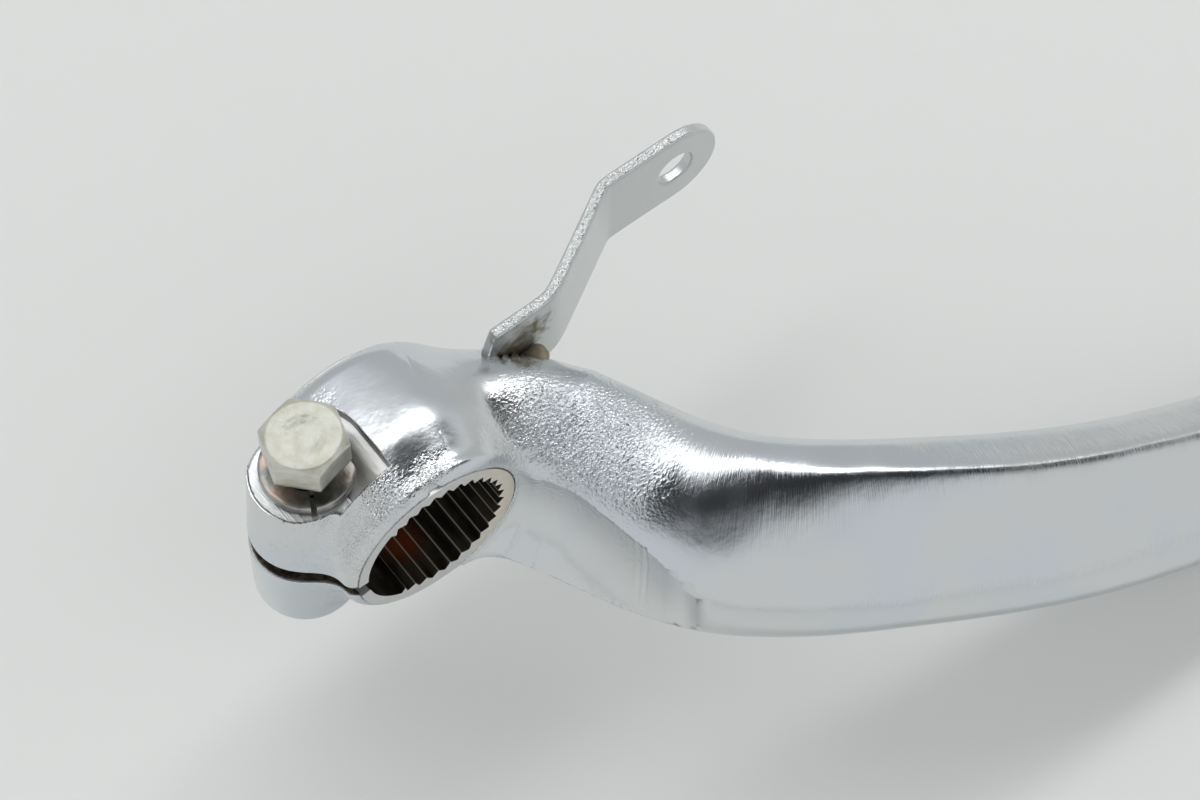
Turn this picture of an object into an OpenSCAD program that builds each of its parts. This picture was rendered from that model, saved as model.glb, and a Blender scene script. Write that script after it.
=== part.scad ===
// Motorbike rear brake pedal, chromed forging with a serrated clamp hub.
// Origin: middle of the bore on the outboard face of the hub.
// X runs forward along the pedal, Y runs inboard along the bore, Z runs up
// along the pinch bolt. Lengths in millimetres.

/* [Hub] */
// outside radius of the hub barrel
hub_r = 16; // [14:0.1:20]
// length of the hub along the bore
hub_len = 27.5; // [20:0.5:34]
// rounding of the outboard edge of the barrel
hub_edge_out = 1.8; // [0.5:0.1:3]
// rounding of the inboard edge of the barrel
hub_edge_in = 3; // [0.5:0.1:5]
// radius of the faced ring round the mouth of the bore
face_r = 14.3; // [13.2:0.1:15]
// depth of the faced ring
face_depth = 0.3; // [0.1:0.05:0.6]

/* [Serrated bore] */
// number of serrations in a full circle
teeth = 33; // [24:1:48]
// radius at the bottom of the serration grooves
root_r = 12.5; // [11:0.05:13]
// radial depth of one serration
tooth_depth = 1.05; // [0.5:0.05:1.5]
// angle of the first groove, from the X axis
first_groove = 122; // [90:0.5:140]
// chamfer at both mouths of the bore
mouth_chamfer = 0.6; // [0.2:0.1:1.2]

/* [Clamp] */
// distance from the bore axis to the bolt axis
bolt_offset = 11.6; // [10.5:0.1:15]
// distance from the outboard face to the bolt axis
bolt_inset = 16; // [12:0.5:18]
// distance behind the bore of the middle of the rounded ear nose
ear_x = 15.2; // [12:0.1:18]
// distance inboard of the middle of the rounded ear nose
ear_y = 14; // [12:0.1:18]
// radius of the ear nose at the slit
ear_r = 8; // [6.5:0.1:10]
// radius of the round of the upper ear beside the spot face
ear_top_r = 8; // [6:0.1:9]
// radius of the ear nose at its foot
ear_foot_r = 7.8; // [6:0.1:9]
// height of the spot face above the bore axis
seat_z = 11; // [9:0.1:14]
// depth of the foot of the lower ear below the bore axis
foot_z = 17; // [14:0.1:20]
// chamfer round the foot of the lower ear
foot_edge = 1.6; // [0.5:0.1:3]
// radius of the spot face cutter
spot_r = 8.8; // [8.2:0.1:11]
// how far the cutter is run on towards the outboard face
spot_run = 8.8; // [2:0.1:12]
// width of the pinch slit
slit_w = 2.8; // [1.5:0.1:4]
// height of the middle of the slit
slit_z = -1; // [-3:0.1:3]
// size of the alignment mark struck in the edge of the hub
mark_r = 0.9; // [0.4:0.1:1.5]

/* [Arm] */
// distance ahead of the bore where the arm leaves the hub
root_x = 23.5; // [20:0.5:28]
// distance ahead of the bore of the outward bend
bend_x = 39.5; // [32:0.5:46]
// how far outboard of the hub face the bend lies
bend_out = 27.5; // [15:0.5:36]
// distance ahead of the bore of the straight part of the arm
shank_x = 86; // [70:1:100]
// how far outboard the straight part runs
shank_out = 48; // [30:0.5:60]
// drop of the straight part below the bore
shank_drop = 19; // [5:0.5:30]
// distance ahead of the bore of the heel of the foot pad
heel_x = 146; // [120:1:170]
// how far outboard the foot pad lies
heel_out = 55; // [40:0.5:70]
// drop of the arm at the heel of the foot pad
heel_drop = 38; // [20:0.5:50]
// drop of the arm root below the bore
root_drop = 6; // [0:0.5:9]
// width of the arm at its root
arm_w_root = 32; // [24:0.5:34]
// width of the arm at the heel of the pad
arm_w_toe = 16.5; // [14:0.5:24]
// thickness of the arm at its root
arm_t_root = 22; // [18:0.5:28]
// thickness of the arm at the heel of the pad
arm_t_toe = 13; // [10:0.5:22]
// lean of the broad side of the arm out of the level
arm_lean = 30; // [0:1:45]
// squareness of the arm section, 2 is an ellipse
arm_square = 2.3; // [2:0.1:3.5]

/* [Foot pad] */
// length of the foot pad
pad_len = 50; // [40:1:70]
// width of the foot pad
pad_w = 38; // [28:1:50]
// thickness of the foot pad under its ribs
pad_t = 8; // [5:0.5:12]
// corner radius of the foot pad
pad_corner = 9; // [3:0.5:14]
// number of grip ribs across the pad
ribs = 6; // [3:1:9]
// height of a grip rib
rib_h = 1.6; // [0.8:0.1:3]
// width of a grip rib at its foot
rib_w = 4; // [2:0.25:6]

/* [Switch tab] */
// thickness of the bent strip
tab_t = 2; // [1.5:0.1:3]
// width of the bent strip
tab_w = 16; // [12:0.5:20]
// height of the middle of the strip above the bore
tab_z = 3; // [-4:0.5:8]
// distance inboard of the front of the welded foot
tab_foot_y = 16.9; // [14:0.1:20]
// distance inboard of the front of the free end
tab_end_y = 27.7; // [20:0.1:32]
// start of the welded foot ahead of the bore
tab_foot_x = 21.8; // [18:0.1:26]
// first bend of the strip
tab_bend1_x = 34.6; // [30:0.1:40]
// second bend of the strip
tab_bend2_x = 52.6; // [45:0.1:58]
// inside radius of the first bend
tab_round1 = 6; // [2:0.5:10]
// inside radius of the second bend
tab_round2 = 2.5; // [1:0.5:6]
// middle of the eye at the free end
tab_eye_x = 66; // [58:0.5:74]
// radius of the hole in the eye
tab_hole_r = 3.3; // [2:0.1:4.5]

/* [Weld] */
// length of the weld along the foot of the strip
weld_len = 9; // [5:0.5:12]
// height of the weld along the foot of the strip
weld_h = 10; // [6:0.5:14]
// height of the middle of the weld above the bore
weld_z = -1; // [-4:0.5:4]
// depth of the weld between strip and arm
weld_deep = 6.5; // [3:0.5:9]

/* [Pinch bolt] */
// nominal radius of the bolt shank
bolt_r = 4; // [3:0.5:5]
// length of the shank under the head
bolt_len = 32; // [25:1:40]
// width of the hexagon across its flats
bolt_af = 12; // [10:0.5:14]
// height of the head
bolt_head = 5.5; // [4:0.1:6.5]
// radius of the flat left on top of the head by the chamfer
bolt_flat_r = 5.6; // [4.5:0.1:6]
// radius of the shallow dish in the head
dish_r = 2.9; // [1.5:0.1:4]
// depth of the shallow dish in the head
dish_depth = 0.35; // [0.1:0.05:1]
// how far the head stands off the washer, the bolt being slack
bolt_slack = 3.7; // [0:0.1:6]
// length of the chamfer at the end of the shank
bolt_point = 1.2; // [0.5:0.1:2]
// turn of the hexagon about the bolt axis
bolt_turn = 13; // [0:1:59]
// radial play of the shank in the upper ear
ear_play = 0.3; // [0.1:0.05:0.6]
// radial play of the shank in its thread
thread_play = 0.02; // [0:0.01:0.1]

/* [Lock washer] */
// outside radius of the lock washer
washer_r = 7.4; // [6.5:0.1:8.5]
// inside radius of the lock washer
washer_bore = 4.15; // [4.02:0.01:4.6]
// thickness of the lock washer
washer_t = 2; // [1:0.1:2.5]
// angle of the gap in the lock washer
washer_gap = 7; // [3:1:15]
// direction of the gap, from the X axis
washer_gap_dir = 242; // [0:1:359]

/* [Hidden] */
$fa = 4;
$fs = 0.6;
tip_r = root_r - tooth_depth;
pitch = 360 / teeth;
slit_hi = slit_z + slit_w / 2;
slit_lo = slit_z - slit_w / 2;
edge_steps = 5;
bend_steps = 5;
strip_back = tab_end_y + 2 * tab_t;
tab_rise = atan2(tab_end_y - tab_foot_y, tab_bend2_x - tab_bend1_x);
arm_steps = 30;
arm_sides = 28;

// Stations along the arm: place, then half width and half thickness.
root_half = arm_w_root / 2;
toe_half = arm_w_toe / 2;
deep_root = arm_t_root / 2;
deep_toe = arm_t_toe / 2;
toe_sink = deep_toe - pad_t / 2 + 0.1;
stations = [
    [5, hub_len * 0.58, -1],
    [root_x - 7, hub_len * 0.41, 2 - root_drop],
    [root_x, -0.4, -root_drop],
    [root_x + 7.4, -bend_out * 0.6, -root_drop * 0.75],
    [bend_x, -bend_out, -root_drop * 0.6],
    [bend_x + 16, -bend_out - 9.7, -shank_drop * 0.36],
    [shank_x, -shank_out, -shank_drop],
    [shank_x + 34, -heel_out + 1.7, -heel_drop + 5],
    [heel_x, -heel_out, -heel_drop],
    [heel_x + 14, -heel_out, -heel_drop]
];
last = len(stations) - 1;

// A point of the smooth curve that passes through every station.
function knot(i) = stations[max(0, min(last, i))];
function blend(a, b, c, d, t) =
    0.5 * (2 * b + (c - a) * t + (2 * a - 5 * b + 4 * c - d) * t * t
    + (3 * b - a - 3 * c + d) * t * t * t);
function spine(u) =
    let (s = min(u * last, last - 0.0001), i = floor(s))
    blend(knot(i - 1), knot(i), knot(i + 1), knot(i + 2), s - i);
function unit(v) = v / norm(v);
function heading(u) = unit(spine(min(u + 0.01, 1)) - spine(max(u - 0.01, 0)));
function ease(u) = u * u * (3 - 2 * u);
function half_w(u) = root_half + (toe_half - root_half) * pow(u, 2.6) - 6 * max(0, 0.2 - u) / 0.2;
function half_t(u) = deep_root + (deep_toe - deep_root) * u * u - toe_sink * ease(max(0, (u - 0.84) / 0.16));
function level(u) = arm_lean * (1 - ease(max(0, (u - 0.75) / 0.25)));
function power(v) = sign(v) * pow(abs(v), 2 / arm_square);
function ring_point(u, a) =
    let (d = heading(u), n = unit([-d[1], d[0], 0]), h = cross(d, n), e = level(u))
    spine(u) + half_w(u) * power(cos(a)) * (cos(e) * n + sin(e) * h)
    + half_t(u) * power(sin(a)) * (cos(e) * h - sin(e) * n);

// The bent bar of the arm, a chain of rounded sections.
module arm() {
    pts = [for (i = [0 : arm_steps], j = [0 : arm_sides - 1])
        ring_point(i / arm_steps, j * 360 / arm_sides)];
    sides = [for (i = [0 : arm_steps - 1], j = [0 : arm_sides - 1], k = [0, 1])
        let (a = i * arm_sides + j, b = i * arm_sides + (j + 1) % arm_sides)
        k == 0 ? [a, b + arm_sides, b] : [a, a + arm_sides, b + arm_sides]];
    end = arm_steps * arm_sides;
    near = [for (j = [1 : arm_sides - 2]) [0, j, j + 1]];
    far = [for (j = [1 : arm_sides - 2]) [end, end + j + 1, end + j]];
    polyhedron(points = pts, faces = concat(near, sides, far));
}

// Turns a shape standing on Z so that it lies along the bore.
module along_bore(y = 0) {
    translate([0, y, 0])
    rotate([-90, 0, 0])
    children();
}

// The round barrel of the hub with its two rounded edges.
module barrel() {
    ro = hub_edge_out;
    ri = hub_edge_in;
    n = edge_steps;
    outer = [for (k = [0 : n]) [hub_r - ro + ro * sin(90 * k / n), ro - ro * cos(90 * k / n)]];
    inner = [for (k = [0 : n]) [hub_r - ri + ri * cos(90 * k / n), hub_len - ri + ri * sin(90 * k / n)]];
    along_bore()
    rotate_extrude()
    polygon(concat([[0, 0]], outer, inner, [[0, hub_len]]));
}

// The two clamp ears round the bolt, wide at the slit and drawn in above and below.
module ears() {
    translate([-ear_x, ear_y, slit_z])
    cylinder(h = seat_z - slit_z, r1 = ear_r, r2 = ear_r / 2);
    translate([-bolt_offset - 1.4, bolt_inset, slit_z])
    cylinder(h = seat_z - slit_z, r = ear_top_r);
    translate([-ear_x, ear_y, -foot_z + foot_edge])
    cylinder(h = foot_z + slit_z - foot_edge, r1 = ear_foot_r, r2 = ear_r);
    translate([-ear_x, ear_y, -foot_z])
    cylinder(h = foot_edge, r1 = ear_foot_r - foot_edge, r2 = ear_foot_r);
}

// The foot pad with its cross ribs.
module pad() {
    c = pad_corner;
    x0 = heel_x;
    x1 = heel_x + pad_len;
    y0 = -heel_out - pad_w / 2;
    y1 = -heel_out + pad_w / 2;
    top = -heel_drop + pad_t / 2;
    centres = [[x1 - c, y1 - c], [x0 + c, y1 - c], [x0 + c, y0 + c], [x1 - c, y0 + c]];
    outline = [for (q = [0 : 3], k = [0 : 6]) centres[q] + c * [cos(90 * q + 15 * k), sin(90 * q + 15 * k)]];
    translate([0, 0, top - pad_t])
    linear_extrude(pad_t)
    polygon(outline);
    step = (pad_len - 2 * c) / (ribs - 1);
    for (k = [0 : ribs - 1])
        translate([x0 + c + k * step, y0 + c * 0.6, top])
        rotate([-90, 0, 0])
        linear_extrude(pad_w - c * 1.2)
        polygon([[-rib_w / 2, 0.4], [rib_w / 2, 0.4], [rib_w / 4, -rib_h], [-rib_w / 4, -rib_h]]);
}

// The serrated bore: a plain hole, the grooves and the smooth arc by the slit.
module bore_cut() {
    half = pitch * 0.36;
    inside = tip_r * 0.99;
    count = floor((2 * first_groove) / pitch) + 1;
    along_bore(-1)
    cylinder(h = hub_len + 2, r = tip_r);
    star = [for (k = [0 : count - 1], s = [0 : 2])
        let (a = -(first_groove - k * pitch) + (s - 1) * half * 1.04, r = s == 1 ? root_r : inside)
        [r * cos(a), r * sin(a)]];
    along_bore(-1)
    linear_extrude(hub_len + 2)
    polygon(star);
    arc = 180 - first_groove - half - 2;
    fan = [for (k = [-6 : 6]) 2 * root_r * [cos(180 + k * arc / 6), sin(180 + k * arc / 6)]];
    intersection() {
        along_bore(-1)
        cylinder(h = hub_len + 2, r = root_r + 0.2);
        along_bore(-1)
        linear_extrude(hub_len + 2)
        polygon(concat([[0, 0]], fan));
    }
    along_bore(-0.01)
    cylinder(h = mouth_chamfer + face_depth, r1 = tip_r + mouth_chamfer + face_depth, r2 = tip_r);
    along_bore(hub_len - mouth_chamfer)
    cylinder(h = mouth_chamfer + 0.01, r1 = tip_r, r2 = tip_r + mouth_chamfer);
}

// Everything that is milled or drilled for the pinch bolt.
module clamp_cut() {
    translate([-ear_x - 2 * ear_r, -1, slit_lo])
    cube([ear_x + 2 * ear_r - root_r / 2, hub_len + 2, slit_w]);
    translate([-bolt_offset, bolt_inset, seat_z])
    cylinder(h = 2 * hub_r, r = spot_r);
    translate([-bolt_offset, bolt_inset - spot_run, seat_z])
    cube([spot_r, spot_run, 2 * hub_r]);
    translate([-bolt_offset, bolt_inset, slit_z])
    cylinder(h = 2 * hub_r, r = bolt_r + ear_play);
    translate([-bolt_offset, bolt_inset, -foot_z - 1])
    cylinder(h = foot_z + slit_z + 1, r = bolt_r + thread_play);
}

// Points of a bend of the strip, at radius r about its centre.
function bend_arc(centre, r) = [for (k = [0 : bend_steps])
    centre + r * [sin(tab_rise * k / bend_steps), -cos(tab_rise * k / bend_steps)]];
function reversed(v) = [for (k = [len(v) - 1 : -1 : 0]) v[k]];

// The side profile of the bent strip, seen along Z: flat, rising, flat again.
module strip_profile() {
    outer1 = tab_round1 + tab_t;
    outer2 = tab_round2 + tab_t;
    back = tan(tab_rise / 2);
    first = [tab_bend1_x - outer1 * back, tab_foot_y + outer1];
    second = [tab_bend2_x + tab_round2 * back, tab_end_y - tab_round2];
    tip = tab_eye_x + tab_w / 2 + 1;
    polygon(concat(
        [[tab_foot_x, tab_foot_y]],
        bend_arc(first, outer1),
        reversed(bend_arc(second, -tab_round2)),
        [[tip, tab_end_y], [tip, tab_end_y + tab_t]],
        bend_arc(second, -outer2),
        reversed(bend_arc(first, tab_round1)),
        [[tab_foot_x, tab_foot_y + tab_t]]
    ));
}

// The weld metal between the foot of the strip and the arm.
module weld_body() {
    x0 = tab_foot_x + 0.8;
    y1 = tab_foot_y;
    n = 6;
    hollow = [for (k = [0 : n]) [x0 + weld_len - 2.2 * sin(90 * k / n), y1 - weld_deep * k / n]];
    translate([0, 0, weld_z - weld_h / 2])
    linear_extrude(weld_h)
    polygon(concat([[x0, y1 - weld_deep], [x0, y1]], hollow));
}

module lever() {
    color("silver")
    difference() {
        union() {
            barrel();
            ears();
            arm();
            pad();
        }
        along_bore(-hub_r)
        cylinder(h = hub_r + face_depth, r = face_r);
        bore_cut();
        clamp_cut();
        translate([0.2, 0, hub_r - 0.7])
        rotate([135, 0, 0])
        translate([0, 0, -0.4])
        cylinder(h = 3, r1 = 0.05, r2 = mark_r * 3);
        translate([0, 0, tab_z - tab_w / 2])
        linear_extrude(tab_w)
        strip_profile();
        weld_body();
    }
}

module switch_tab() {
    color("gainsboro")
    difference() {
        intersection() {
            translate([0, 0, tab_z - tab_w / 2])
            linear_extrude(tab_w)
            strip_profile();
            union() {
                translate([tab_eye_x, 0, tab_z])
                rotate([-90, 0, 0])
                cylinder(h = strip_back, r = tab_w / 2);
                translate([0, 0, tab_z - tab_w])
                cube([tab_eye_x, strip_back, 2 * tab_w]);
            }
        }
        translate([tab_eye_x, tab_end_y - 1, tab_z])
        rotate([-90, 0, 0])
        cylinder(h = tab_t + 2, r = tab_hole_r);
    }
}

module weld() {
    color("rosybrown")
    weld_body();
}

module pinch_bolt() {
    base = seat_z + washer_t + bolt_slack;
    corner = bolt_af / 2 / cos(30);
    color("lightgray")
    translate([-bolt_offset, bolt_inset, base])
    difference() {
        union() {
            intersection() {
                rotate([0, 0, bolt_turn])
                cylinder(h = bolt_head, r = corner, $fn = 6);
                cylinder(h = bolt_head, r1 = bolt_flat_r + bolt_head * 1.8, r2 = bolt_flat_r);
            }
            translate([0, 0, bolt_point - bolt_len])
            cylinder(h = bolt_len - bolt_point + bolt_head / 2, r = bolt_r);
            translate([0, 0, -bolt_len])
            cylinder(h = bolt_point, r1 = bolt_r - bolt_point * 0.7, r2 = bolt_r);
        }
        translate([0, 0, bolt_head - dish_depth])
        cylinder(h = dish_depth + 1, r = dish_r);
    }
}

module lock_washer() {
    color("darkgray")
    translate([-bolt_offset, bolt_inset, seat_z])
    rotate([0, 0, washer_gap_dir + washer_gap / 2])
    rotate_extrude(angle = 360 - washer_gap)
    translate([washer_bore, 0])
    square([washer_r - washer_bore, washer_t]);
}

lever();
switch_tab();
weld();
pinch_bolt();
lock_washer();
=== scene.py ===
import bmesh
import bpy
import numpy as np
from mathutils import Matrix, Vector


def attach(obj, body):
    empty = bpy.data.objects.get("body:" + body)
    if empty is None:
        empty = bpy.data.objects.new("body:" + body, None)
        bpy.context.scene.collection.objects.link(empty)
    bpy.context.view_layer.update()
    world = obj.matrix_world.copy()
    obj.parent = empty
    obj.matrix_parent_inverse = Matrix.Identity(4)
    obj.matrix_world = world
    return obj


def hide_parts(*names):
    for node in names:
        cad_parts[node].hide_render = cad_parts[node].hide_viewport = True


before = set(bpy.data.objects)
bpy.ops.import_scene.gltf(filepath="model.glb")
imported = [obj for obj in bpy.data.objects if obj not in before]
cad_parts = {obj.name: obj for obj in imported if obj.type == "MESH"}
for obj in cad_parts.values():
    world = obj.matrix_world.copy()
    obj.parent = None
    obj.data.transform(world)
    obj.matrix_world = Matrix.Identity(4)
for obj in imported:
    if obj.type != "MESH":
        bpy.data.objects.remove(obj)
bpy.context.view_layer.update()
scene = bpy.context.scene

# The lever: one steel forging, ground, and chromed all over. It clamps on the serrated shaft with its
# two ears. All lengths in this script's shape code are millimetres, turned to metres when a mesh is
# made.

HUB_R, HUB_LEN, EDGE_OUT, EDGE_IN = 16.0, 27.5, 1.9, 3.4
BOLT = np.array([-11.6, 16.0])
SEAT_Z, SPOT_R, SPOT_RUN, SLIT_Z, SLIT_W = 11.0, 8.8, 8.8, -1.0, 2.8
EAR_R, EAR_FOOT = 8.0, 17.0
ROOT_R, TIP_R, TEETH, FIRST = 12.5, 11.45, 33, 122.0
FACE_R, FACE_DEPTH, SLEEVE_R = 14.3, 0.3, 14.25
RIDGE_Y = 10.6
PAD_X0, PAD_X1, PAD_Y, PAD_W, PAD_TOP, PAD_T = 146.0, 196.0, -55.0, 38.0, -34.0, 8.0

STATIONS = np.array([
    [5.0, 15.95, -1.0], [16.5, 11.3, -4.0], [23.5, -0.4, -6.0], [30.9, -16.5, -4.5],
    [39.5, -27.5, -3.6], [55.5, -37.2, -6.84], [86.0, -48.0, -19.0], [120.0, -53.3, -33.0],
    [146.0, -55.0, -38.0], [160.0, -55.0, -38.0]])


def spine(u):
    """The arm's middle line, a Catmull-Rom curve: at u from 0 to 1 it passes through every station in
    turn."""
    last = len(STATIONS) - 1
    s = np.clip(u * last, 0, last - 1e-6)
    i = np.floor(s).astype(int)
    t = (s - i)[..., None]
    a, b, c, d = (STATIONS[np.clip(i + k, 0, last)] for k in (-1, 0, 1, 2))
    return 0.5 * (2 * b + (c - a) * t + (2 * a - 5 * b + 4 * c - d) * t**2 + (3 * b - a - 3 * c + d) * t**3)


def unit(v):
    """v divided by its own length."""
    return v / np.linalg.norm(v, axis=-1, keepdims=True)


def arm_frame(u):
    """At u along the spine: its heading, then the broad and the thin direction of the section, leaned
    by 30 degrees."""
    d = unit(spine(np.minimum(u + 0.004, 1)) - spine(np.maximum(u - 0.004, 0)))
    n = unit(np.stack([-d[..., 1], d[..., 0], 0 * d[..., 0]], -1))
    h = np.cross(d, n)
    w = np.clip((u - 0.75) / 0.25, 0, 1)
    e = np.radians(30 * (1 - w * w * (3 - 2 * w)))[..., None]
    return d, np.cos(e) * n + np.sin(e) * h, np.cos(e) * h - np.sin(e) * n


def half_sizes(u):
    """Half the width and half the thickness of the arm: full at the root, less by the power 2.6 and 2
    of u, and eased down into the pad over the last sixth."""
    k = np.maximum(0, (u - 0.84) / 0.16)
    width = 16 - 7.75 * u**2.6 - 6 * np.maximum(0, 0.2 - u) / 0.2
    return width, 11 - 4.5 * u**2 - 2.6 * k * k * (3 - 2 * k)


def mix_in(a, b, k):
    """The smaller of two distances, less a sixth of k times the cube of how near they are to each
    other, from 0 where they are k apart to 1 where they are equal. That fills the corner between
    them."""
    h = np.maximum(k - np.abs(a - b), 0) / k
    return np.minimum(a, b) - h**3 * k / 6


def cut_out(a, b, k):
    """Distance a with the inside of b taken away, the edge rounded by about k."""
    return -mix_in(-a, b, k)


def in_arm(p):
    """The spine's parameter nearest each point, by nearest sample and three Newton steps, and the
    point's place in the section there: along its width, its thickness and its heading."""
    us = np.linspace(0, 1, 140)
    pts = spine(us)
    u = np.empty(len(p))
    for k in range(0, len(p), 60000):
        q = p[k:k + 60000]
        d2 = (pts**2).sum(1) - 2 * q @ pts.T
        u[k:k + 60000] = us[d2.argmin(1)]
    for _ in range(3):
        e = 0.002
        a, b, c = spine(np.clip(u - e, 0, 1)), spine(u), spine(np.clip(u + e, 0, 1))
        g = ((b - p) * (c - a)).sum(1) / (2 * e)
        gg = (((c - a) / (2 * e))**2).sum(1)
        u = np.clip(u - g / gg, 0, 1)
    c = spine(u)
    d, n, h = arm_frame(u)
    return u, ((p - c) * n).sum(1), ((p - c) * h).sum(1), ((p - c) * d).sum(1)


def arm_distance(p):
    """Distance to the arm: the radial distance to a rounded section about the nearest spine point. Its
    exponent is 2.3 at the root and 2.9 from the middle on, where the two broad sides meet the edges
    more sharply."""
    u, x, y, z = in_arm(p)
    w, t = half_sizes(u)
    r = np.hypot(x, y) + 1e-9
    k = 2.3 + 0.6 * np.clip((u - 0.45) / 0.15, 0, 1)
    q = ((np.abs(x) / w)**k + (np.abs(y) / t)**k)**(1 / k) + 1e-9
    side = r * (1 - 1 / q)
    s, c = np.sin(np.radians(48)), np.cos(np.radians(48))
    j = k / (k - 1)
    reach = ((w * s)**j + (t * c)**j)**(1 / j)
    ground = np.clip((u - 0.42) / 0.2, 0, 1)
    ground = ground * (1 - np.clip((u - 0.84) / 0.12, 0, 1))
    side = cut_out(side, reach - 1.35 * ground + 0.3 - x * s - y * c, 1.2)
    past = np.abs(z) - 0.2
    return np.hypot(np.maximum(side, 0), np.maximum(past, 0)) + np.minimum(np.maximum(side, past), 0)


def pad_distance(p):
    """Distance to the foot pad: a plate rounded in plan by 9 mm, with six ribs across its top."""
    c = np.array([(PAD_X0 + PAD_X1) / 2, PAD_Y])
    q = np.abs(p[:, :2] - c) - np.array([(PAD_X1 - PAD_X0) / 2, PAD_W / 2]) + 9
    plan = np.hypot(*np.maximum(q, 0).T) + np.minimum(q.max(1), 0) - 9
    k = np.stack([plan + 1.5, np.abs(p[:, 2] - PAD_TOP + PAD_T / 2) - PAD_T / 2 + 1.5], 1)
    d = np.hypot(*np.maximum(k, 0).T) + np.minimum(k.max(1), 0) - 1.5
    x = (p[:, 0] - PAD_X0 - 9 + 3.2) % 6.4 - 3.2
    rib = np.maximum(np.abs(x) - 2 + (p[:, 2] - PAD_TOP) * 0.62, p[:, 2] - PAD_TOP - 1.6)
    rib = np.maximum(rib, np.maximum(np.abs(p[:, 1] - PAD_Y) - 13.6, np.abs(p[:, 0] - c[0]) - 18.5))
    rib = np.maximum(rib, PAD_TOP - 2 - p[:, 2])
    return mix_in(d, rib, 0.8)


def ear_distance(p):
    """Distance to the clamp ears: a column of 8 mm radius that leans with height, rounded at its
    foot."""
    z = np.clip((p[:, 2] + 1) / 12, 0, 1.3)[:, None]
    c = np.array([-15.2, 14.0]) + z * np.array([2.2, 2.0])
    q = np.stack([np.hypot(*(p[:, :2] - c).T) - EAR_R + 2.2, -EAR_FOOT - p[:, 2] + 2.2], 1)
    d = np.hypot(*np.maximum(q, 0).T) + np.minimum(q.max(1), 0) - 2.2
    return np.maximum(d, p[:, 2] - 11.4)


def barrel_radius(y):
    """Radius of the hub at y: a soft ridge that falls away on both sides, and a low lip at the front
    edge."""
    fall = np.hypot(y - RIDGE_Y, 2.2) - 2.2
    return 16.5 - np.where(y < RIDGE_Y, 0.15, 0.09) * fall + 0.25 * np.exp(-((y - 1.9) / 1.1)**2)


def forging(p):
    """Signed distance to the whole forging in millimetres, before anything is drilled or milled."""
    y = p[:, 1]
    r = np.hypot(p[:, 0], p[:, 2]) - barrel_radius(y) + HUB_R
    e = np.where(y < HUB_LEN / 2, EDGE_OUT, EDGE_IN)
    q = np.stack([r - HUB_R + e, np.abs(y - HUB_LEN / 2) - HUB_LEN / 2 + e], 1)
    hub = np.hypot(*np.maximum(q, 0).T) + np.minimum(q.max(1), 0) - e
    hub = mix_in(hub, ear_distance(p), 7.5 * np.clip((11 - p[:, 2]) / 8, 0.3, 1))
    out = mix_in(hub, arm_distance(p), 13.5)
    return mix_in(out, pad_distance(p), 5)


def machined(p):
    """Signed distance to the forging with the bore, the facing, the slit, the spot face and the bolt
    holes cut."""
    d = forging(p)
    x, y, z = p.T
    r, rb = np.hypot(x, z), np.hypot(x - BOLT[0], y - BOLT[1])
    d = cut_out(d, r - SLEEVE_R, 0.05)
    out = np.maximum(FACE_DEPTH - y, 0)
    flare = FACE_R + np.sqrt(4 - (2 - np.minimum(out, 2))**2) + 0.2 * np.maximum(out - 2, 0)
    d = cut_out(d, np.maximum((r - flare) * 0.8, y - FACE_DEPTH), 0.7 + 4.3 * np.clip(out / 3, 0, 1))
    pocket = np.maximum(np.abs(x - BOLT[0] - SPOT_R / 2) - SPOT_R / 2,
                        np.abs(y - BOLT[1] + SPOT_RUN / 2) - SPOT_RUN / 2)
    d = cut_out(d, np.maximum(np.minimum(rb - SPOT_R, pocket), SEAT_Z - z), 0.4)
    d = cut_out(d, np.maximum(np.abs(z - SLIT_Z) - SLIT_W / 2, x + 6), 0.5)
    d = cut_out(d, np.maximum(rb - 4.3, SLIT_Z - z), 0.3)
    d = cut_out(d, np.maximum(rb - 4.05, z - SLIT_Z), 0.3)
    mark = (p - np.array([0.3, 0.5, 15.0])) @ unit(np.array([0.0, -0.7, 0.7]))
    side = np.abs(p[:, 0] - 0.3)
    across = (p - np.array([0.3, 0.5, 15.0])) @ unit(np.array([0.0, 0.7, 0.7]))
    dent = np.maximum(np.maximum(side * 0.86 + across * 0.5 - 0.75, -across - 0.9), -mark - 0.7)
    return cut_out(d, dent, 0.3)


def gradient(f, p, e=0.02):
    """The outward direction of a distance function, by central differences."""
    return unit(np.stack([f(p + o) - f(p - o) for o in np.eye(3) * e], -1))


def settle(f, p, rounds=3):
    """Moves points onto the zero surface of f along its gradient."""
    for _ in range(rounds):
        g = np.stack([f(p + o) - f(p - o) for o in np.eye(3) * 0.02], -1) / 0.04
        p = p - np.clip(f(p), -0.4, 0.4)[:, None] * g / np.maximum((g**2).sum(1), 0.25)[:, None]
    return p


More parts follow.
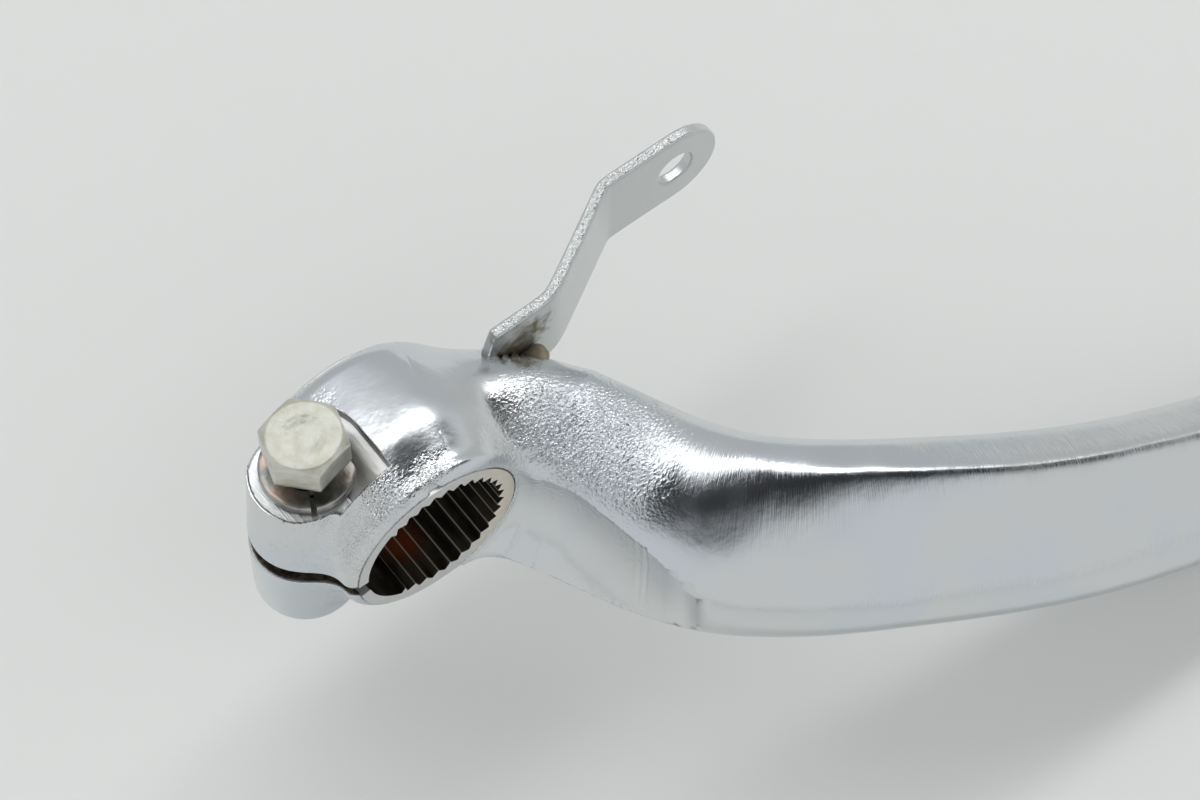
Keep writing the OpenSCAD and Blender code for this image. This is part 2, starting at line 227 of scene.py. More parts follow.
def net(f, lo, hi, step):
    """The zero surface of f on a grid. Blocks of four cells far from it are skipped. A cell that it
    crosses gets one point at the mean of its edge crossings, and a grid edge that it crosses gets one
    quad."""
    n = np.ceil((np.array(hi) - lo) / step / 4).astype(int)
    block = f(np.array(lo) + (4 * np.indices(n).reshape(3, -1).T + 2) * step).reshape(n)
    cell, v = np.abs(block) < 6 * step, block
    for ax in range(3):
        cell, v = cell.repeat(4, ax), v.repeat(4, ax)
    v = np.pad(v, ((0, 1),) * 3, mode="edge")
    node = np.zeros(v.shape, bool)
    corners = np.array([[i, j, k] for i in (0, 1) for j in (0, 1) for k in (0, 1)])
    for c in corners:
        node[c[0]:c[0] + 4 * n[0], c[1]:c[1] + 4 * n[1], c[2]:c[2] + 4 * n[2]] |= cell
    v[node] = f(np.array(lo) + np.argwhere(node) * step)
    base = np.argwhere(cell)
    vals = np.stack([v[tuple((base + c).T)] for c in corners], 1)
    hit = (vals.min(1) < 0) & (vals.max(1) >= 0)
    base, vals = base[hit], vals[hit]
    total, count = np.zeros((len(base), 3)), np.zeros(len(base))
    pairs = [(a, b) for a in range(8) for b in range(a + 1, 8)]
    for a, b in (k for k in pairs if np.abs(corners[k[0]] - corners[k[1]]).sum() == 1):
        on = (vals[:, a] < 0) != (vals[:, b] < 0)
        t = np.where(on, vals[:, a] / np.where(on, vals[:, a] - vals[:, b], 1), 0)[:, None]
        total += np.where(on[:, None], corners[a] + t * (corners[b] - corners[a]), 0)
        count += on
    index = -np.ones(cell.shape, int)
    index[tuple(base.T)] = np.arange(len(base))
    quads = []
    for ax in range(3):
        one, two = [k for k in range(3) if k != ax]
        low = (v < 0).take(range(4 * n[ax]), ax)
        e = np.argwhere(low != (v < 0).take(range(1, 4 * n[ax] + 1), ax))
        e = e[(e[:, one] > 0) & (e[:, two] > 0) & (e[:, one] < 4 * n[one]) & (e[:, two] < 4 * n[two])]
        around = [index[tuple((e - s * np.eye(3, dtype=int)[one] - t * np.eye(3, dtype=int)[two]).T)]
                  for s, t in ((1, 1), (0, 1), (0, 0), (1, 0))]
        q = np.stack(around, 1)
        turn = low[tuple(e.T)] != (ax == 1)
        quads.append(np.where(turn[:, None], q, q[:, ::-1]))
    return settle(f, np.array(lo) + (base + total / count[:, None]) * step), np.concatenate(quads)


def mesh_of(name, pts, faces, smooth=True):
    """A mesh object from points in millimetres and rows of point numbers."""
    me = bpy.data.meshes.new(name)
    rows = np.asarray(faces, dtype=object).tolist()
    me.from_pydata((np.asarray(pts) / 1000).tolist(), [], [list(f) for f in rows])
    me.polygons.foreach_set("use_smooth", [smooth] * len(me.polygons))
    me.update()
    ob = bpy.data.objects.new(name, me)
    scene.collection.objects.link(ob)
    return ob


def points_of(ob):
    """The object's points in millimetres."""
    co = np.empty(3 * len(ob.data.vertices))
    ob.data.vertices.foreach_get("co", co)
    return co.reshape(-1, 3) * 1000


def paint(ob, name, values):
    """Stores one number or one vector a point under a name that the material reads."""
    kind = "FLOAT" if values.ndim == 1 else "FLOAT_VECTOR"
    attribute = ob.data.attributes.new(name, kind, "POINT")
    attribute.data.foreach_set("value" if values.ndim == 1 else "vector", values.ravel())


def grid_faces(rows, cols, wrap=True):
    """Quads between neighbouring rings of a grid of points, each ring closed when wrap is set."""
    i, j = np.meshgrid(np.arange(rows - 1), np.arange(cols if wrap else cols - 1), indexing="ij")
    a, b = i * cols + j, i * cols + (j + 1) % cols
    return np.stack([a, b, b + cols, a + cols], -1).reshape(-1, 4)


def outward(ob):
    """Turns all faces of a closed mesh outward."""
    bm = bmesh.new()
    bm.from_mesh(ob.data)
    bmesh.ops.recalc_face_normals(bm, faces=bm.faces[:])
    bm.to_mesh(ob.data)
    bm.free()


# The hub end of the lever is netted up to a plane across the arm.
SEAM = 0.36
seam_point, seam_dir = spine(np.array([SEAM]))[0], arm_frame(np.array([SEAM]))[0][0]
pts, quads = net(machined, (-24.2, -33.5, -18.4), (47.6, 28.6, 16.9), 0.3)
quads = quads[(((pts - seam_point) @ seam_dir) < 0.8)[quads].all(1)]
used, quads = np.unique(quads, return_inverse=True)
lever = mesh_of("lever_forging", pts[used], quads.reshape(-1, 4))

# The rest of the arm and the pad are rings thrown out from the spine onto the same surface.
to_pad = PAD_X0 - seam_point[0]
along = np.concatenate([np.linspace(0, to_pad, 100), to_pad + np.linspace(0.4, 44, 100)])
us = np.linspace(SEAM, 1, 800)
xs = spine(us)[:, 0] - seam_point[0]
u_of = np.interp(along, xs, us)
centre = spine(u_of)
d, n, h = arm_frame(u_of)
past = along > xs[-1] - 8
level = np.ones(past.sum())
centre[past] = np.stack([seam_point[0] + along[past], level * PAD_Y, level * -38.0], 1)
d[past], n[past], h[past] = (1, 0, 0), (0, 1, 0), (0, 0, 1)
flat = np.clip((along - to_pad + 6) / 6, 0, 1)[:, None]
theta = np.linspace(0, 2 * np.pi, 220, endpoint=False)
ww, tt = half_sizes(u_of)
ww, tt = ww[:, None] * (1 - flat) + 19 * flat, tt[:, None] * (1 - flat) + 5 * flat
rays = unit((ww * np.cos(theta))[..., None] * n[:, None] + (tt * np.sin(theta))[..., None] * h[:, None])
tip = np.linspace(0, 1, 50)[1:, None, None] * np.pi / 2
rays = np.concatenate([rays, rays[-1] * np.cos(tip) + np.array([1.0, 0, 0]) * np.sin(tip)])
centre = np.concatenate([centre, np.repeat(centre[-1:], len(tip), 0)])
near_r, far_r = np.zeros(rays.shape[:2]), np.full(rays.shape[:2], 34.0)
for _ in range(20):
    mid = (near_r + far_r) / 2
    inside = machined((centre[:, None] + rays * mid[..., None]).reshape(-1, 3)).reshape(mid.shape) < 0
    near_r, far_r = np.where(inside, mid, near_r), np.where(inside, far_r, mid)
ring = centre[:, None] + rays * near_r[..., None]
arm_half = mesh_of("lever_arm", ring.reshape(-1, 3), grid_faces(*ring.shape[:2]))

# Both halves are joined to one closed skin at the seam.
bm = bmesh.new()
bm.from_mesh(lever.data)
cut, way = Vector(seam_point / 1000), Vector(seam_dir)
bmesh.ops.bisect_plane(bm, geom=bm.verts[:] + bm.edges[:] + bm.faces[:], plane_co=cut, plane_no=way,
                       clear_outer=True, dist=1e-7)
bm.from_mesh(arm_half.data)
rim = [e for e in bm.edges if e.is_boundary and all(abs((v.co - cut).dot(way)) < 2e-5 for v in e.verts)]
bmesh.ops.bridge_loops(bm, edges=rim)
bmesh.ops.holes_fill(bm, edges=[e for e in bm.edges if e.is_boundary], sides=0)
bmesh.ops.triangulate(bm, faces=[f for f in bm.faces if len(f.verts) > 4])
bmesh.ops.recalc_face_normals(bm, faces=bm.faces[:])
for f in bm.faces:
    f.smooth = True
bm.to_mesh(lever.data)
bm.free()
bpy.data.objects.remove(arm_half)

# Where the skin is smooth it needs fewer faces. Half of them hold its shape.
fewer = lever.modifiers.new("fewer_faces", "DECIMATE")
fewer.ratio = 0.5
skin = lever.evaluated_get(bpy.context.evaluated_depsgraph_get())
thinned = bpy.data.meshes.new_from_object(skin)
lever.modifiers.clear()
lever.data = thinned
pts = points_of(lever)
lever.data.normals_split_custom_set_from_vertices(gradient(machined, pts).tolist())


def near_points(p, *places):
    """The largest of some round falloffs: exp(-(distance / size)^2) times a weight, for places x, y, z,
    size, weight."""
    spots = [w * np.exp(-(((p - np.array(c))**2).sum(1) / s**2)) for *c, s, w in places]
    return np.max(spots, 0)


u, x, y, z = in_arm(pts)
even = np.linspace(0, 1, 400)
steps = np.linalg.norm(np.diff(spine(even), axis=0), axis=1)
length = np.concatenate([[0], np.cumsum(steps)])
paint(lever, "grain", np.stack([np.interp(u, even, length) + z, x, y], -1))
paint(lever, "pits", np.clip(near_points(
    pts, (24, 4, 8, 6, 1.2), (21, -2, 7, 7, 1.0), (16, -8, 3, 6, 0.5), (31, -3, 6, 8, 1.0),
    (27, -11, 5, 6, 0.6), (-7, 1, 14, 5, 1.2), (-13, 1, 9, 6, 1.2), (1, 1, 15.5, 3.5, 0.9),
    (-17, 8, 4, 6, 0.7), (-13, 3, -8, 8, 0.6), (-6, 22, 15, 3, 0.4), (22, -20, -2, 5, 0.3)), 0, 1))
paint(lever, "brush", np.clip((pts[:, 0] - 27) / 14, 0, 1))
inside = -forging(pts)
milled = (pts[:, 2] > SEAT_Z - 0.25) * (pts[:, 0] > BOLT[0] - SPOT_R - 1)
paint(lever, "milled", np.clip(inside / 0.3 - 0.5, 0, 1) * milled)
# Painted shade: the inside of the slit and of the bolt holes is painted near-black oil. This is partly real
# oil and partly the shade of these narrow recesses.
slit = (pts[:, 0] < -6) * (np.abs(pts[:, 2] - SLIT_Z) < SLIT_W / 2 + 0.3)
holes = np.hypot(pts[:, 0] - BOLT[0], pts[:, 1] - BOLT[1]) < 4.5
paint(lever, "oil_and_shade", np.clip(inside / 0.3 - 0.4, 0, 1) * (slit | holes))


class Value:
    """The output of a shader node. Arithmetic on it adds Math nodes."""

    def __init__(self, shader, socket):
        self.shader, self.socket = shader, socket

    def math(self, operation, *others):
        return self.shader.node("ShaderNodeMath", {"operation": operation}, dict(enumerate((self, *others))))

    def __add__(self, other):
        return self.math("ADD", other)

    def __mul__(self, other):
        return self.math("MULTIPLY", other)

    def __sub__(self, other):
        return self.math("SUBTRACT", other)

    def __rsub__(self, other):
        return self.math("MULTIPLY", -1.0).math("ADD", other)

    __radd__ = __add__

    def step(self, low, high):
        """0 below low, 1 above high and smooth between them."""
        smooth = {"interpolation_type": "SMOOTHSTEP"}
        return self.shader.node("ShaderNodeMapRange", smooth, {0: self, 1: low, 2: high})


class Shader:
    """One material, built node by node."""

    def __init__(self, name, tree=None):
        if tree is None:
            self.material = bpy.data.materials.new(name)
            self.material.use_nodes = True
            tree = self.material.node_tree
            tree.nodes.clear()
        self.tree = tree

    def node(self, kind, settings, sockets, out=0):
        made = self.tree.nodes.new(kind)
        for key, value in settings.items():
            setattr(made, key, value)
        for key, value in sockets.items():
            if isinstance(value, Value):
                self.tree.links.new(value.socket, made.inputs[key])
            else:
                made.inputs[key].default_value = value
        return Value(self, made.outputs[out])

    def place(self):
        """The point in the object's own millimetres."""
        own = self.node("ShaderNodeTexCoord", {}, {}, "Object")
        return self.scaled(own, 1000, 1000, 1000)

    def scaled(self, vector, x, y, z):
        return self.node("ShaderNodeVectorMath", {"operation": "MULTIPLY"}, {0: vector, 1: (x, y, z)})

    def painted(self, name, out="Fac"):
        return self.node("ShaderNodeAttribute", {"attribute_name": name}, {}, out)

    def noise(self, vector, scale, detail=2.0, rough=0.5):
        sockets = {"Vector": vector, "Scale": scale, "Detail": detail, "Roughness": rough}
        return self.node("ShaderNodeTexNoise", {}, sockets)

    def grains(self, vector, scale):
        """How far a point lies from the nearest of many scattered grains, with their places stirred a
        little."""
        sockets = {"Vector": vector, "Scale": scale * 1.3, "Detail": 1.0}
        stir = self.node("ShaderNodeTexNoise", {}, sockets, 1)
        stir = self.scaled(stir, 0.7, 0.7, 0.7)
        moved = self.node("ShaderNodeVectorMath", {"operation": "ADD"}, {0: vector, 1: stir})
        return self.node("ShaderNodeTexVoronoi", {}, {"Vector": moved, "Scale": scale})

    def mix(self, amount, low, high):
        """The colour low where amount is 0 and high where it is 1."""
        colours = {"data_type": "RGBA", "clamp_factor": True}
        return self.node("ShaderNodeMix", colours, {0: amount, 6: low, 7: high}, 2)

    def bump(self, height_mm, under=None, strength=1.0):
        sockets = {"Height": height_mm, "Distance": 0.001, "Strength": strength}
        if under is not None:
            sockets["Normal"] = under
        return self.node("ShaderNodeBump", {}, sockets)

    def surface(self, ob, **sockets):
        """Ends the material in one Principled shader and puts it on the object."""
        named = {k.replace("_", " ").title().replace("Ior", "IOR"): v for k, v in sockets.items()}
        bsdf = self.node("ShaderNodeBsdfPrincipled", {}, named)
        end = self.tree.nodes.new("ShaderNodeOutputMaterial")
        self.tree.links.new(bsdf.socket, end.inputs["Surface"])
        ob.data.materials.append(self.material)


s = Shader("chrome_over_forging")
p, grain, pits, brush = s.place(), s.painted("grain", "Vector"), s.painted("pits"), s.painted("brush")
milled, oil_and_shade = s.painted("milled"), s.painted("oil_and_shade")
dent = (0.36 - s.noise(p, 1.3, 2.0)).math("MAXIMUM", 0.0) * pits.step(0.02, 0.25)
lines = s.noise(s.scaled(grain, 4.0, 0.12, 0.12), 1.0, 3.0, 0.7)
cuts = s.noise(s.scaled(p, 5.0, 0.15, 5.0), 1.0, 2.0)
wave = s.noise(p, 0.09, 1.0)
relief = lines * brush * 0.035 + wave * 0.35 + s.noise(p, 0.6, 2.0) * 0.03 - dent * 0.5
relief = relief + s.grains(p, 1.8) * pits * 0.17 + cuts * milled * 0.16
rough = 0.17 + s.noise(p, 0.12, 2.0).step(0.4, 0.65) * 0.07 - brush * 0.04
rough = rough + pits * 0.1 + milled * 0.1 + oil_and_shade * 0.3
tint = s.noise(s.scaled(p, 0.05, 0.05, 0.05), 1.0, 3.0).step(0.45, 0.6)
chrome = s.mix(tint, (0.70, 0.715, 0.72, 1), (0.665, 0.70, 0.735, 1))
# This near-black oil colour paints the shade in the slit and the bolt holes as well as the oil.
oil_and_painted_light = s.mix(s.noise(p, 0.8, 3.0).step(0.4, 0.6), (0.02, 0.016, 0.01, 1), (0.09, 0.075, 0.05, 1))
s.surface(lever, base_color=s.mix(oil_and_shade, chrome, oil_and_painted_light), metallic=1.0 - oil_and_shade * 0.6,
          roughness=rough, normal=s.bump(relief))
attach(lever, "root")
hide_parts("lever")


def sleeve_radius(a):
    """Radius of the bore at angle a in degrees: V grooves between sharp crests, and a smooth arc beside
    the slit."""
    pitch = 360 / TEETH
    off = np.abs((FIRST - a + pitch / 2) % pitch - pitch / 2)
    v = TIP_R + (ROOT_R - TIP_R) * np.clip(1 - off / (pitch * 0.47), 0, 1)
    return np.where((a > FIRST + pitch * 0.6) | (a < -FIRST + 4 - pitch * 0.5), ROOT_R + 0.2, v)


# The serrated wall is one sleeve from lip to lip of the slit, with the faced ring at each mouth. A
# row is a place along the bore and either a radius of its own or how far it stands back from the
# serrations.
SLIT_LIPS = [np.degrees(np.arcsin((k * SLIT_W / 2 - SLIT_Z) / 12.7)) for k in (1, -1)]
bearing = np.linspace(-180 + SLIT_LIPS[0], 180 + SLIT_LIPS[1], 1700)
serrated = sleeve_radius(bearing)
deep = [FACE_DEPTH + 0.03, FACE_DEPTH + 0.15, *np.linspace(0.6, HUB_LEN - 0.7, 14), HUB_LEN - 0.25]
back = [0.12, *[0.0] * 15, 0.5]
rings = [(FACE_DEPTH, k + 0 * bearing) for k in (14.28, 13.4, 12.9, 12.6)]
rings += [(k, serrated + j) for k, j in zip(deep, back)]
rings += [(HUB_LEN - j, k + 0 * bearing) for j, k in ((0.16, 12.95), (0.4, 13.5), (1.0, 14.28))]
around = np.radians(bearing)
sleeve = np.stack([np.stack([r * np.cos(around), k + 0 * r, r * np.sin(around)], -1) for k, r in rings])
count, size = sleeve.shape[:2]
faces = (grid_faces(count + 1, size, False) % (count * size)).tolist()
faces += [[k * size + end for k in range(count)] for end in (0, size - 1)]
bore = mesh_of("lever_bore", sleeve.reshape(-1, 3), faces)
outward(bore)
bore.data.set_sharp_from_angle(angle=np.radians(32))
pts = points_of(bore)
far = np.hypot(pts[:, 0], pts[:, 2])
paint(bore, "ring", ((pts[:, 1] < FACE_DEPTH + 0.05) | ((pts[:, 1] > 20) & (far > 12.8))) * 1.0)
paint(bore, "depth", (far - TIP_R) / (ROOT_R - TIP_R))
s = Shader("bore_oily")
p, ringed, deep = s.place(), s.painted("ring").step(0.3, 0.7), s.painted("depth")
blotch = s.noise(s.scaled(p, 0.35, 0.12, 0.35), 1.0, 3.0)
# Painted highlight: a small orange glint low in the bore is painted into the colour as an orange-red spot.
orange_glint = s.node("ShaderNodeVectorMath", {"operation": "DISTANCE"}, {0: p, 1: (-2.0, 8.0, -11.9)}, "Value")
oil_and_painted_light = s.mix(blotch.step(0.45, 0.62), (0.022, 0.017, 0.012, 1), (0.06, 0.05, 0.035, 1))
oil_and_painted_light = s.mix(1 - orange_glint.step(0.5, 5.0), oil_and_painted_light, (0.22, 0.05, 0.012, 1))
# Painted highlight: the crests of the serrations are painted light grey, a thin bright line along each.
oil_and_painted_light = s.mix(1 - deep.step(0.0, 0.1), oil_and_painted_light, (0.42, 0.40, 0.36, 1))
ahead = s.node("ShaderNodeSeparateXYZ", {}, {0: p}, 0)
cream = s.mix(ahead.step(4.0, 12.0), (0.72, 0.72, 0.72, 1), (0.86, 0.79, 0.68, 1))
s.surface(bore, base_color=s.mix(ringed, oil_and_painted_light, cream), metallic=0.55 + ringed * 0.45,
          roughness=0.3 + blotch * 0.12 + ringed * 0.02,
          normal=s.bump(s.noise(s.scaled(p, 1.5, 0.3, 1.5), 1.0, 2.0) * 0.05))
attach(bore, "root")
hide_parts("lever")

# The switch tab: a strip of 2 mm steel, sheared to width, bent twice on edge, drilled at its round
# end, chromed with the lever and welded on by its foot.

TAB_Z, TAB_W, TAB_T, EYE_X, EYE_R = 3.0, 16.0, 2.0, 66.0, 3.3


def tab_line(x):
    """The strip's middle line in plan: flat, then a slope of 0.6 from x = 34.6 to 52.6, then flat, each
    bend eased."""
    ease = [(x - k + np.hypot(x - k, w)) / 2 for k, w in ((34.6, 1.6), (52.6, 0.7))]
    return 17.9 + 0.6 * (ease[0] - ease[1])


def tab_distance(p):
    """Signed distance to the strip: its thickness across the middle line, its outline along it, edges
    rounded by 0.45."""
    x, y, z = p.T
    slope = (tab_line(x + 0.01) - tab_line(x - 0.01)) / 0.02
    across = np.abs(y - tab_line(x)) / np.hypot(1, slope) - TAB_T / 2 + 0.45
    r = np.hypot(x - EYE_X, z - TAB_Z)
    side = np.where(x > EYE_X, r, np.abs(z - TAB_Z)) - TAB_W / 2
    side = np.maximum(side, 21.9 - x + 0.35 * np.maximum(z - 6, 0)) + 0.45
    inner = np.minimum(np.maximum(across, side), 0)
    body = np.hypot(np.maximum(across, 0), np.maximum(side, 0)) + inner - 0.45
    return cut_out(body, r - EYE_R, 0.6)


tab = mesh_of("switch_tab", *net(tab_distance, (20.5, 15.8, -6.2), (75.4, 31, 12.2), 0.26))
pts = points_of(tab)
tab.data.normals_split_custom_set_from_vertices(gradient(tab_distance, pts).tolist())
paint(tab, "edge", np.clip(1 - (TAB_W / 2 - np.abs(pts[:, 2] - TAB_Z)) / 0.5, 0, 1))
# Painted shade and dirt: the strip near its foot, where it meets the arm, is painted dark brown. This is
# partly dirt and partly the shade of the corner between strip and arm.
paint(tab, "grime_and_shade", near_points(pts, (25, 17, 2, 7, 1.0), (30, 17, 6, 6, 0.7), (23, 17, 11, 3, 0.6)))
s = Shader("chrome_over_strip")
p, edge, grime_and_shade = s.place(), s.painted("edge"), s.painted("grime_and_shade")
dirt_and_shade = (grime_and_shade + s.noise(p, 0.7, 4.0) * 0.8 - 0.75).step(0.0, 0.5)
shear = s.noise(s.scaled(p, 2.2, 2.2, 0.15), 1.0, 2.0)
tab_base = s.mix(dirt_and_shade, (0.66, 0.68, 0.68, 1), (0.16, 0.13, 0.08, 1))
s.surface(tab, base_color=tab_base, metallic=1.0 - dirt_and_shade * 0.5,
          roughness=0.26 + s.noise(p, 0.5, 3.0) * 0.08 + dirt_and_shade * 0.3,
          normal=s.bump(shear * edge * 0.25 + s.noise(p, 0.35, 3.0) * 0.12 + s.noise(p, 3.0, 2.0) * 0.02))
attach(tab, "root")
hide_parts("switch_tab")

# The weld: a short bead of steel between the strip's foot and the arm's root, plated thinly, so that it has
# gone brown and oily. Its end towards the hub is painted darker still, as painted shade under the strip's
# foot.


def box_distance(p, centre, half, r):
    """Distance to a box with edges rounded by r."""
    q = np.abs(p - np.array(centre)) - (np.array(half) - r)
    return np.linalg.norm(np.maximum(q, 0), axis=1) + np.minimum(q.max(1), 0) - r


def weld_distance(p):
    """Signed distance to the bead: a box rounded by 1.6 mm with a hollow at its end, swelling in
    ripples of 2.2 mm."""
    box = box_distance(p, (27.1, 13.75, -1.5), (4.5, 3.3, 4.5), 1.6)
    hollow = np.hypot(p[:, 0] - 33.6, p[:, 1] - 10.2) - 4.2
    ripple = 0.07 * np.sin(p[:, 2] * 2.8 + 0.8 * np.sin(p[:, 0]))
    ripple = ripple + 0.05 * np.sin(p[:, 0] * 2.1 + p[:, 1] * 1.3)
    return cut_out(box, hollow, 1.0) + 0.15 + ripple


weld = mesh_of("weld_bead", *net(weld_distance, (21.6, 9.2, -7.2), (32.8, 18, 5.2), 0.25))
outward(weld)
s = Shader("weld_brown")
p = s.place()
patch, ahead = s.noise(p, 0.6, 4.0), s.node("ShaderNodeSeparateXYZ", {}, {0: p}, 0)
# Painted shade: the bead is near black towards the hub end and beige towards the other. The dark end stands
# for shade under the strip as well as stained steel.
brown_and_shade = s.mix((ahead + patch * 3).step(28.5, 31.5), (0.07, 0.052, 0.03, 1), (0.30, 0.26, 0.19, 1))
s.surface(weld, base_color=brown_and_shade, metallic=0.7, roughness=0.36 + patch * 0.2,
          normal=s.bump(s.noise(p, 1.6, 2.0) * 0.1))
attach(weld, "root")
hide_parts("weld")

# The lock washer: a turn of square steel wire with its cut ends a little apart. It lies on the milled
# seat of the upper ear and the bolt goes through.

turn = np.radians(np.linspace(242 + 3.5, 242 + 356.5, 200))
t = np.linspace(0, 2 * np.pi, 40, endpoint=False)
sx, sz = (np.sign(f(t)) * np.abs(f(t))**0.35 for f in (np.cos, np.sin))
lift = 0.14 * (turn - turn[0]) / (turn[-1] - turn[0])
rad = 5.775 + 1.6 * sx
hoop = np.stack([BOLT[0] + rad * np.cos(turn)[:, None], BOLT[1] + rad * np.sin(turn)[:, None],
                 SEAT_Z + 0.93 + lift[:, None] + 0.92 * sz + 0 * turn[:, None]], -1)
faces = grid_faces(*hoop.shape[:2]).tolist() + [list(range(40)), list(range(199 * 40, 200 * 40))]
washer = mesh_of("lock_washer", hoop.reshape(-1, 3), faces)
outward(washer)
washer.data.set_sharp_from_angle(angle=np.radians(50))
s = Shader("washer_steel")
p = s.place()
stain = s.noise(p, 0.5, 4.0)
height = s.node("ShaderNodeSeparateXYZ", {}, {0: p}, 2)
steel = s.mix(stain.step(0.35, 0.65), (0.30, 0.295, 0.27, 1), (0.47, 0.465, 0.44, 1))
copper = height.step(12.8, 12.98) * s.noise(p, 0.35, 2.0).step(0.5, 0.62)
s.surface(washer, base_color=s.mix(copper * 0.5, steel, (0.72, 0.45, 0.33, 1)), metallic=1.0,
          roughness=0.24 + stain * 0.2, normal=s.bump(s.noise(s.scaled(p, 0.8, 0.8, 4.0), 1.0, 3.0) * 0.06))
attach(washer, "root")
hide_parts("lock_washer")

# The pinch bolt: an M8 hexagon bolt, zinc plated and worn yellowish. It is slack, so the head stands
# off the washer; its thread goes on down through both ears.

BASE, HEAD = SEAT_Z + 2.0 + 3.7, 5.5
turn = np.linspace(0, 2 * np.pi, 360, endpoint=False)
hexagon = np.minimum(6 / np.cos((turn - np.radians(13)) % (np.pi / 3) - np.pi / 6), 6.86)


def level_ring(r, z):
    """One closed ring of the head at radius r and height z above the bearing face, either given for
    each angle."""
    r, z = r + 0 * turn, z + 0 * turn
    return np.stack([BOLT[0] + r * np.cos(turn), BOLT[1] + r * np.sin(turn), BASE + z], -1)


cone = HEAD - (hexagon - 5.6) / 1.8
rings = [level_ring(r, HEAD - 0.2 / (1 + (r / 2.7)**8)) for r in (0.02, *np.linspace(0.4, 3.2, 22))]
rings += [level_ring(r, HEAD + 0.03 * np.sin((r - 3.2) * 1.3)) for r in np.linspace(3.4, 5.4, 12)]
rings += [level_ring(5.55, HEAD - 0.01), level_ring(5.68, HEAD - 0.06)]
rim_r, rim_z = hexagon - 0.14, cone + 0.02
rings += [level_ring(5.68 + (rim_r - 5.68) * k, HEAD - 0.06 + (rim_z - HEAD + 0.06) * k)
          for k in np.linspace(0.2, 1, 8)]
rings += [level_ring(hexagon - 0.04, cone - 0.05), level_ring(hexagon, cone - 0.16)]
rings += [level_ring(hexagon, (cone - 0.16) * k + 0.15 * (1 - k)) for k in np.linspace(0.85, 0, 7)]
rings += [level_ring(hexagon - 0.05, 0.04), level_ring(hexagon - 0.18, 0.0)]
rings += [level_ring(4.2, 0.0), level_ring(3.95, -0.05)]
down = np.linspace(0.3, 30.8, 200)
crest = np.abs(((down[:, None] / 1.25 + turn / (2 * np.pi)) % 1) * 2 - 1)
threads = 3.96 - 0.62 * np.clip(crest * 1.25 - 0.12, 0, 1) * np.clip((down - 3)[:, None] / 1.5, 0, 1)
rings += [level_ring(r, -k) for r, k in zip(threads, down)]
rings += [level_ring(3.16, -31.98), level_ring(2.9, -32.0), level_ring(0.02, -32.0)]
head = np.stack(rings)
last_ring = (len(rings) - 1) * 360
faces = grid_faces(*head.shape[:2]).tolist()
faces += [list(range(360)), list(range(last_ring, last_ring + 360))]
bolt = mesh_of("pinch_bolt", head.reshape(-1, 3), faces)
outward(bolt)
bolt.data.set_sharp_from_angle(angle=np.radians(40))
s = Shader("bolt_worn_zinc")
p = s.place()
worn = s.noise(p, 0.4, 4.0)
tall = s.node("ShaderNodeSeparateXYZ", {}, {0: p}, 2)
zinc_and_shade = s.mix(worn.step(0.38, 0.62), (0.60, 0.59, 0.50, 1), (0.70, 0.70, 0.63, 1))
# Painted shade: below its bearing face the bolt is painted near black. This covers the shank in the gap over
# the washer and the thread under it.
zinc_and_shade = s.mix(1 - tall.step(BASE - 1.0, BASE + 0.8), zinc_and_shade, (0.10, 0.09, 0.07, 1))
top = tall.step(BASE + HEAD - 0.5, BASE + HEAD - 0.3)
s.surface(bolt, base_color=zinc_and_shade, metallic=0.95 - top * 0.2, roughness=0.24 + worn * 0.16 + top * 0.12,
          normal=s.bump(s.noise(p, 1.1, 3.0) * 0.1 + s.noise(p, 5.0, 2.0) * 0.012))
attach(bolt, "root")
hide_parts("pinch_bolt")

# The room: a pale sheet, pale walls, a dark ceiling over the camera and one long soft lamp beyond the
# object. A long lens looks down on the clamp end.

FLOOR_Z, REACH = -45.8, 4000
corners = [[i * REACH, j * REACH, FLOOR_Z] for i, j in ((-1, -1), (1, -1), (1, 1), (-1, 1))]
floor = mesh_of("floor", corners, [[0, 1, 2, 3]], False)
s = Shader("sheet")
s.surface(floor, base_color=(0.82, 0.825, 0.81, 1), roughness=0.6, specular_ior_level=0.2)

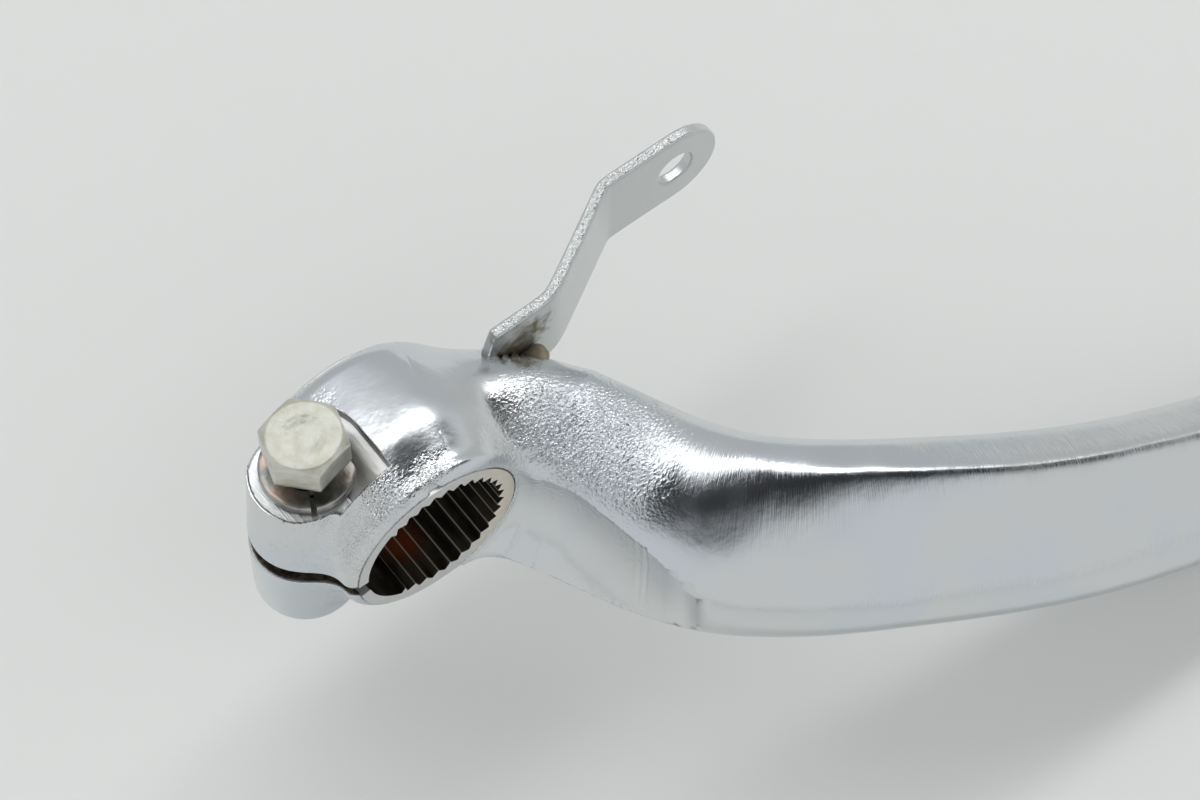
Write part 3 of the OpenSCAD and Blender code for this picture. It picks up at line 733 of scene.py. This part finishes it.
world = bpy.data.worlds.new("room")
scene.world = world
world.use_nodes = True
world.node_tree.nodes.clear()
s = Shader("room", world.node_tree)
way = s.node("ShaderNodeTexCoord", {}, {}, "Generated")
wx, wy, wz = (s.node("ShaderNodeSeparateXYZ", {}, {0: way}, k) for k in range(3))
up = wz.math("MAXIMUM", 0.001)
cx, cy = wx.math("DIVIDE", up), wy.math("DIVIDE", up)
dark = cx.step(-0.98, -0.72) * (1 - cx.step(2.2, 2.7)) * cy.step(-0.72, -0.12) * (1 - cy.step(0.22, 0.32))
walls = s.mix(cy.step(0.5, 1.2) * (1 - wz.step(0.6, 0.8)), (0.70, 0.715, 0.72, 1), (0.55, 0.56, 0.56, 1))
shade = s.mix(dark, walls, (0.03, 0.032, 0.035, 1))
seen = s.node("ShaderNodeLightPath", {}, {}, "Is Camera Ray")
shade = s.mix(seen, shade, (0.74, 0.75, 0.745, 1))
back = s.node("ShaderNodeBackground", {}, {"Color": shade, "Strength": 1.0})
end = world.node_tree.nodes.new("ShaderNodeOutputWorld")
world.node_tree.links.new(back.socket, end.inputs["Surface"])


def lamp(name, width, depth, watts, place):
    """A soft rectangular lamp that looks straight down."""
    made = bpy.data.objects.new(name, bpy.data.lights.new(name, "AREA"))
    scene.collection.objects.link(made)
    made.data.shape = "RECTANGLE"
    made.data.size = width
    made.data.size_y = depth
    made.data.energy = watts
    made.location = place
    return made


lamp("strip_lamp", 3.15, 0.4, 7.5, (0.75, 0.65, 1.5))
lamp("bright_lamp", 1.3, 0.32, 3.2, (1.5, 0.63, 1.49))
fill = lamp("soft_fill", 4.0, 4.0, 22, (0.3, -0.2, 2.5))
fill.visible_glossy = False

cam = bpy.data.objects.new("camera", bpy.data.cameras.new("camera"))
scene.collection.objects.link(cam)
scene.camera = cam
axes = Matrix(((0.795141, -0.606422, -0.00169), (0.536134, 0.701672, 0.469272),
               (-0.283391, -0.374044, 0.883052)))
cam.matrix_world = Matrix.Translation(Vector((-0.159375, -0.25018, 0.599951))) @ axes.transposed().to_4x4()
cam.data.sensor_width, cam.data.lens = 36, 135
cam.data.clip_start, cam.data.clip_end = 0.01, 50
scene.view_settings.view_transform = "Standard"
